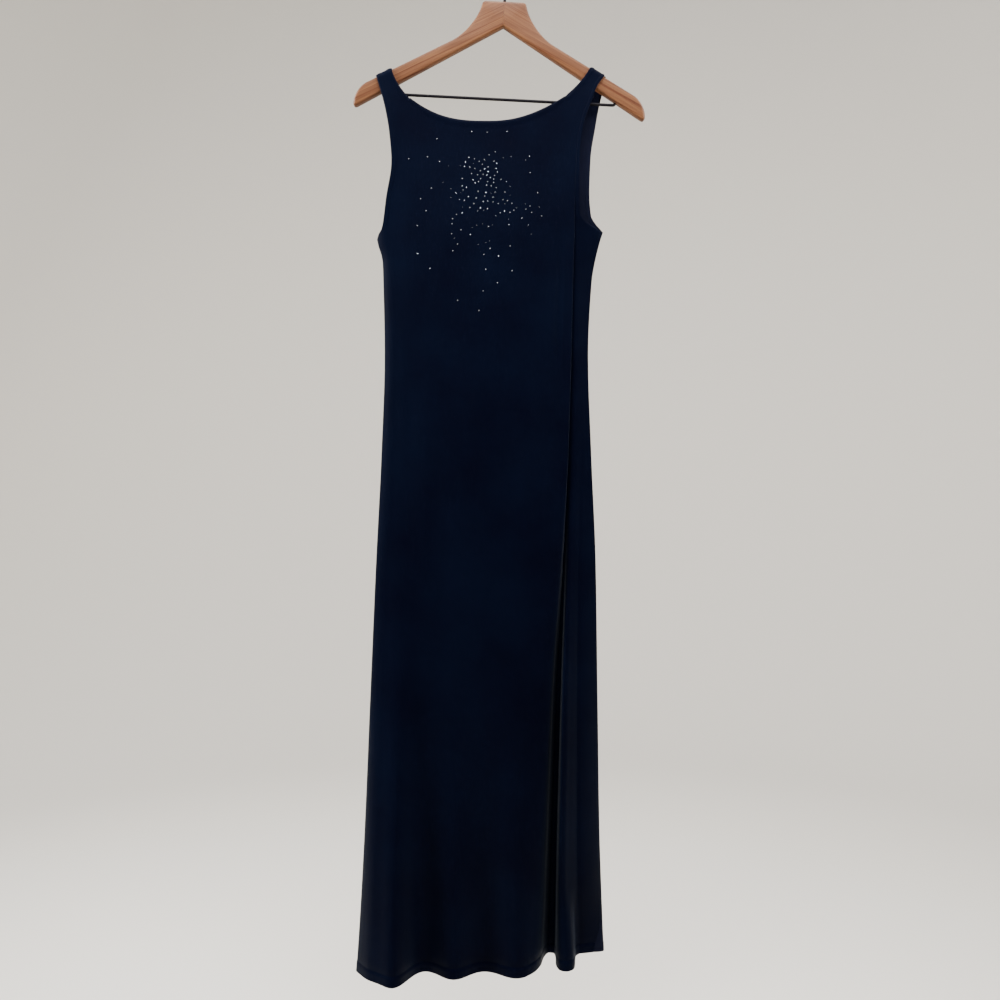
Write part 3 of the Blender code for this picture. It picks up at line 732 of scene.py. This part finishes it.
def relief(panel, x, drop):
    """How far the soft waves above the hem and the creases carry a panel outwards."""
    total = 0.0
    for place, width, reach, height in WAVES[panel]:
        grown = max(0.0, 1 - (HEM_DROP - drop) / height)
        total += reach * grown**WAVE_POWER * math.exp(-(((x - place) / width) ** 2) / 2)
    for top_x, top, foot_x, foot, width, reach, fading in CREASES[panel]:
        strength = ease(min(drop - top, foot - drop) / fading)
        if strength > 0:
            line = mix(top_x, foot_x, (drop - top) / (foot - top))
            total += reach * strength * math.exp(-(((x - line) / width) ** 2) / 2)
    return total


def depth(panel, x, drop, deep=0.0):
    """How far behind the middle a panel lies: it meets its seams at the sides and over the arms."""
    outwards = -1 if panel == "front" else 1
    left, right = SIDE["left"](drop), SIDE["right"](drop)
    middle, sides = BOW[panel]
    off_middle = (2 * x - left - right) / (right - left)
    bow = 1 + ease((drop - BOW_STARTS) / BOW_LENGTH) * (middle - sides * off_middle**2)
    y = outwards * (LEVEL[panel](drop) * bow + relief(panel, x, drop)) + deep * FOLD_DEPTH(drop)
    for side in ("left", "right"):
        reach = ROUNDING(drop) * SIDE_SOFTNESS
        power = SIDE_POWER
        if side == "right" and panel == "front":
            reach = FLAP_REACH(drop)
            power = mix(SIDE_POWER, FLAP_POWER, ease((drop - FLAP_STARTS) / FLAP_LENGTH))
        y = mix(SEAM[side](drop), y, turned_share(abs(x - SIDE[side](drop)), reach, power))
    return y * turned_share(drop - strap_top(x), STRAP_WRAP, WRAP_POWER)


def column_points(panel, column):
    """One column's points in millimetres, from its top to the hem."""
    near, far, upper, lower, step, first_row = column

    def place(drop, lowered):
        share_below = fold_section(step, drop)[0] if near == "fold_left" else lower
        return mix(guide(panel, near, drop), guide(panel, far, drop), mix(upper, share_below, lowered))

    def deep(drop):
        return 0.0 if step is None else fold_section(step, drop)[1]

    if first_row:
        first, last = (neck_corner(panel, side)[0] for side in ("left", "right"))
        top = neck_point(panel, mix(first, last, lower))[1]
    else:
        # A column's place on the rounded top depends on its drop there, so both are closed in on.
        top = shoulder_drop(STRAP_INNER["left"])
        for _ in range(9):
            top = strap_top(place(top, 0.0))
    low = place(UNDERARM["right"], 1.0)
    line = underarm_drop(low)
    start = UPPER_ROWS[first_row]
    drops = [mix(top, line, (row - start) / (1 - start)) for row in UPPER_ROWS[first_row:]]
    drops += [mix(line, hem_drop(low), share) for share in LOWER_ROWS[1:]]
    points = []
    for drop in drops:
        x = place(drop, min((drop - top) / (line - top), 1.0))
        points.append(Vector((x, depth(panel, x, drop, deep(drop)), -drop)))
    return points


WALE = 1.974  # the drawn knit's spacing across
COURSE = 1.579  # and down


def navy_jersey(name, face, sheen_tint):
    """Stretch viscose jersey: nearly black navy, matt, with the soft sheen of its fine raised fibres."""
    material, shader = new_material(
        name,
        Roughness=0.5,
        IOR=1.45,
        Specular_IOR_Level=0.014,
        Sheen_Weight=0.05,
        Sheen_Roughness=0.42,
        Sheen_Tint=srgb(sheen_tint),
    )
    links = material.node_tree.links
    cloth_map = add_node(material, "UVMap", {"uv_map": "cloth"}).outputs["UV"]
    place = add_node(material, "TexCoord").outputs["Object"]
    # The dye takes a little unevenly over hand-sized areas.
    dye = add_node(material, "TexNoise", Vector=place, Scale=9.0, Detail=3.0, Roughness=0.55)
    tone = colour_steps(
        add_node(material, "ValToRGB", Fac=dye.outputs["Fac"]),
        (0.3, srgb(face[0])),
        (0.7, srgb(face[1])),
    )
    links.new(tone.outputs["Color"], shader.inputs["Base Color"])
    # The knit's upright wales are 0.6 mm apart and its level courses 0.5 mm. Both are drawn about three
    # times as wide, so that they show. A wave texture's own wave is a twentieth of a turn long.
    wales = add_node(
        material,
        "TexWave",
        {"wave_type": "BANDS", "bands_direction": "X", "wave_profile": "SIN"},
        Vector=cloth_map,
        Scale=math.tau / 20 / (WALE * MM),
        Distortion=0.5,
        Detail=1.0,
        Detail_Scale=2.0,
    )
    courses = add_node(
        material,
        "TexWave",
        {"wave_type": "BANDS", "bands_direction": "Y", "wave_profile": "SIN"},
        Vector=cloth_map,
        Scale=math.tau / 20 / (COURSE * MM),
        Distortion=0.8,
        Detail=1.0,
    )
    stitches = add_node(
        material,
        "Math",
        {"operation": "MULTIPLY_ADD"},
        _0=courses.outputs["Fac"],
        _1=0.4,
        _2=wales.outputs["Fac"],
    )
    knit = add_node(material, "Bump", Height=stitches.outputs["Value"], Strength=0.25, Distance=0.0003)
    # The limp cloth is never quite smooth: shallow dents a few centimetres long, drawn out downwards.
    drawn_down = add_node(material, "Mapping", Vector=place, Scale=(28, 28, 5)).outputs["Vector"]
    limp = add_node(material, "TexNoise", Vector=drawn_down, Scale=1.0, Detail=2.0, Roughness=0.5)
    drape = add_node(
        material,
        "Bump",
        Height=limp.outputs["Fac"],
        Strength=0.5,
        Distance=0.002,
        Normal=knit.outputs["Normal"],
    )
    links.new(drape.outputs["Normal"], shader.inputs["Normal"])
    return material


def hung_points(panel, plan):
    """A panel's points, by column and row."""
    points = {}
    for index, column in enumerate(plan):
        for row, place in enumerate(column_points(panel, column), start=column[5]):
            points[index, row] = place
    return points


def cloth_across(points, middle, anchors):
    """How far across the cloth each point lies from the panel's middle, as the knit runs. Above the neckline
    each strap goes on from its own inner column."""
    across = {}
    for row in reversed(range(ROW_COUNT)):
        under_neck = row >= NECK_ROW
        for start in [middle] if under_neck else anchors:
            across[start, row] = 0.0 if under_neck else across[start, row + 1]
            for step in (-1, 1):
                column = start + step
                while (column, row) in points:
                    width = (points[column, row] - points[column - step, row]).length
                    across[column, row] = across[column - step, row] + step * width
                    column += step
    return across


def sewn_panel(panel, face, reverse):
    """A panel of the dress: a grid whose columns hang from the straps and the neckline, made thick."""
    plan = column_plan(panel)
    points = hung_points(panel, plan)
    last = len(plan) - 1
    middle = len(plan) // 2
    strap_columns = [index for index in range(len(plan)) if (index, 0) in points]
    anchors = [
        max(index for index in strap_columns if index < middle),
        min(index for index in strap_columns if index > middle),
    ]
    across = cloth_across(points, middle, anchors)

    bm = bmesh.new()
    bmesh.ops.create_grid(bm, x_segments=last, y_segments=ROW_COUNT - 1, size=1)
    turned_in = bm.verts.layers.deform.verify()
    places = {}
    for vert in bm.verts:
        column = round((vert.co.x + 1) / 2 * last)
        places[vert] = (column, round((1 - vert.co.y) / 2 * (ROW_COUNT - 1)))
    cut_out = [vert for vert, place in places.items() if place not in points]
    bmesh.ops.delete(bm, geom=cut_out, context="VERTS")
    cloth = bm.loops.layers.uv.new("cloth")
    for vert in bm.verts:
        column, row = places[vert]
        vert.co = points[column, row]
        edges = [0, last]
        if row <= NECK_ROW:
            edges.append(anchors[0] if column <= anchors[0] else anchors[1])
        here = across[column, row]
        from_edges = [abs(here - across[edge, row]) for edge in edges if (edge, row) in across]
        under_neck = (column, 0) not in points
        if under_neck:
            from_edges.append(points[column, NECK_ROW].z - vert.co.z)
        beside_opening = under_neck or row < EDGE_ENDS
        in_turning = row > HEM_STITCH_ROW or (beside_opening and min(from_edges) < EDGE_TURN)
        vert[turned_in][0] = 1.0 if in_turning else 0.0
        if row == HEM_STITCH_ROW:
            vert.co.y += STITCH_DENT if panel == "front" else -STITCH_DENT
        for loop in vert.link_loops:
            loop[cloth].uv = (here * MM, (HEM_DROP + vert.co.z) * MM)
    if panel == "back":
        bmesh.ops.reverse_faces(bm, faces=bm.faces)
    patches = [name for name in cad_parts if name.startswith(panel)]
    piece = finish(f"jersey_{panel}", bm, face, reverse, slot="jersey", replaces=patches, sharp=70)
    piece.vertex_groups.new(name="turned_in")
    wall = piece.modifiers.new("cloth", "SOLIDIFY")
    wall.thickness = TURNED * MM
    wall.offset = 0
    wall.vertex_group = "turned_in"
    wall.thickness_vertex_group = CLOTH / TURNED
    wall.material_offset = 1
    return piece


navy_face = navy_jersey("navy_jersey", ("01020D", "020513"), "A2AEBE")
navy_reverse = navy_jersey("navy_jersey_reverse", ("080A16", "0D0F1D"), "8E90B4")
SHEETS = {  # width, length and area of each panel's flat cut as it shows, in metres
    "front": (0.56, 1.34, 0.52),
    "back": (0.42, 1.32, 0.47),
}
for panel in ("front", "back"):
    piece = sewn_panel(panel, navy_face, navy_reverse)
    width, length, area = SHEETS[panel]

# ---------------------------------------------------------------- the rhinestones
# Flat-backed foiled glass stones with eight facets, 0.7 to 1.4 mm across, are glued on in front. They are
# close in the middle of the chest, and ever thinner outwards and down.

GLUE = 0.1  # its thickness under a stone
GIRDLE = 0.25  # the height of a stone's upright rim, as a share of its radius
CROWN = 0.7  # its whole height, likewise
TABLE = 0.55  # and the radius of its flat top
STONE_TILT = 0.12  # how far a stone tips either way
STONE_GAP = 5.0  # no two middles are closer
STONES_ACROSS = (-145, 50)
STONES_DOWN = (286, 535)
STONE_GROUPS = (  # how many, their middle across and down, how far they spread each way, and their radii
    (44, -35, 322, 14, 16, (0.66, 0.62)),
    (22, -8, 368, 24, 13, (0.66, 0.62)),
    (6, -74, 376, 11, 15, (0.66, 0.62)),
    (36, -32, 350, 44, 44, (0.35, 0.42)),
)
LONE_RADIUS = 0.7
LONE_STONES = (  # the ones that stand apart, across and down
    (-52, 259), (-29, 260), (1, 259), (-104, 270), (-146, 300), (-118, 297), (-100, 304),
    (34, 296), (35, 321), (46, 351), (37, 381), (52, 386), (-112, 344), (-128, 360),
    (-120, 378), (-133, 400), (-133, 442), (-114, 464), (-80, 438), (-73, 428), (-54, 414),
    (-68, 407), (-27, 402), (-25, 435), (-34, 444), (-12, 446), (5, 431), (-31, 466),
    (8, 468), (-14, 486), (-35, 498), (-73, 512), (-41, 527),
)


def glass_stone(bm, x, drop, radius, tilt):
    """One stone: a girdle, eight crown facets and a table, lying on the cloth and tipped a little."""
    here = depth("front", x, drop)
    slope_x = depth("front", x + 1, drop) - here
    slope_drop = depth("front", x, drop + 1) - here
    outwards = Vector((slope_x + tilt[0], -1, -slope_drop + tilt[1])).normalized()
    seat = Vector((x, here, -drop)) + outwards * (CLOTH / 2 + GLUE)
    turn = Vector((0, 0, 1)).rotation_difference(outwards).to_matrix().to_4x4()
    for low, high, narrow in ((0, GIRDLE, 1), (GIRDLE, CROWN, TABLE)):
        bmesh.ops.create_cone(
            bm,
            cap_ends=True,
            segments=8,
            radius1=radius,
            radius2=radius * narrow,
            depth=radius * (high - low),
            matrix=Matrix.Translation(seat + outwards * radius * (high + low) / 2) @ turn,
        )


def stone_places(seed):
    """Places, radii and tilts for the stones, no two closer than they are glued."""
    chance = random.Random(seed)
    placed = [(x, drop, LONE_RADIUS) for x, drop in LONE_STONES]
    for count, middle_x, middle_drop, spread_x, spread_drop, radii in STONE_GROUPS:
        full = len(placed) + count
        while len(placed) < full:
            x = chance.gauss(middle_x, spread_x)
            drop = chance.gauss(middle_drop, spread_drop)
            across_fits = STONES_ACROSS[0] < x < STONES_ACROSS[1]
            drop_fits = STONES_DOWN[0] < drop < STONES_DOWN[1]
            apart = all(math.dist((x, drop), other[:2]) > STONE_GAP for other in placed)
            if across_fits and drop_fits and apart:
                placed.append((x, drop, chance.choice(radii)))
    stones = []
    for x, drop, radius in placed:
        tilt = (chance.gauss(0, STONE_TILT), chance.gauss(0, STONE_TILT))
        stones.append((x, drop, radius, tilt))
    return stones


bm = bmesh.new()
for x, drop, radius, tilt in stone_places(7):
    glass_stone(bm, x, drop, radius, tilt)
# The foil behind the glass makes each stone a bright small mirror.
foiled_glass, shader = new_material(
    "foiled_glass",
    Base_Color=srgb("C2CAD2"),
    Metallic=1.0,
    Roughness=0.25,
    Coat_Weight=1.0,
    Coat_Roughness=0.1,
)
finish("rhinestones", bm, foiled_glass, slot="rhinestone", sharp=10)

# ---------------------------------------------------------------- the studio
# A plain pale floor sweeps up into a round wall, open above to even light. Two tall soft lights stand at
# the sides, the stronger one on the left, and a wide one hangs in front, above the hanger.

FLOOR_RADIUS = 2.3  # in metres, as are all the studio's sizes
FLOOR_HEIGHT = -1.8
COVE_RADIUS = 1.2  # of the sweep from the floor into the wall
WALL_TOP = 2.6
LIGHTS_AIM = Vector((-0.03, 0, -0.4))  # the dress at underarm height

studio = bmesh.new()
rim = bmesh.ops.create_circle(studio, cap_ends=True, segments=96, radius=FLOOR_RADIUS)["verts"]
bmesh.ops.translate(studio, verts=rim, vec=(0, 0, FLOOR_HEIGHT))
rings = []
for share in even(10)[1:]:
    angle = share * math.pi / 2
    height = FLOOR_HEIGHT + COVE_RADIUS * (1 - math.cos(angle))
    rings.append((FLOOR_RADIUS + COVE_RADIUS * math.sin(angle), height))
rings.append((FLOOR_RADIUS + COVE_RADIUS, WALL_TOP))
edges = [edge for edge in studio.edges if edge.is_boundary]
radius = FLOOR_RADIUS
for wider, height in rings:
    grown = bmesh.ops.extrude_edge_only(studio, edges=edges)["geom"]
    verts = [item for item in grown if isinstance(item, bmesh.types.BMVert)]
    bmesh.ops.scale(studio, verts=verts, vec=(wider / radius, wider / radius, 1))
    for vert in verts:
        vert.co.z = height
    edges = [item for item in grown if isinstance(item, bmesh.types.BMEdge)]
    radius = wider
bmesh.ops.recalc_face_normals(studio, faces=studio.faces)
bmesh.ops.reverse_faces(studio, faces=studio.faces)
backdrop_mesh = bpy.data.meshes.new("studio_floor")
studio.to_mesh(backdrop_mesh)
studio.free()
backdrop_mesh.shade_smooth()
matt_paint, shader = new_material("matt_studio_paint", Base_Color=srgb("DDD9D2"), Roughness=0.9)
backdrop_mesh.materials.append(matt_paint)
backdrop = bpy.data.objects.new("studio_floor", backdrop_mesh)
bpy.context.scene.collection.objects.link(backdrop)

for name, place, width, height, power in (  # the power is in watts
    ("soft_light_left", (-1.5, -0.25, 0.3), 0.5, 1.0, 120),
    ("soft_light_right", (1.0, -0.4, 0.3), 0.5, 1.0, 38),
    ("soft_light_above", (0, -0.7, 1.0), 1.0, 0.5, 70),
):
    light = bpy.data.lights.new(name, "AREA")
    light.shape = "RECTANGLE"
    light.size = width
    light.size_y = height
    light.energy = power
    lamp = bpy.data.objects.new(name, light)
    lamp.location = place
    lamp.rotation_euler = (LIGHTS_AIM - Vector(place)).to_track_quat("-Z", "Y").to_euler()
    bpy.context.scene.collection.objects.link(lamp)

world = bpy.data.worlds.new("even_light")
world.use_nodes = True
world.node_tree.nodes["Background"].inputs["Color"].default_value = srgb("F4F3F1")
world.node_tree.nodes["Background"].inputs["Strength"].default_value = 0.66
bpy.context.scene.world = world
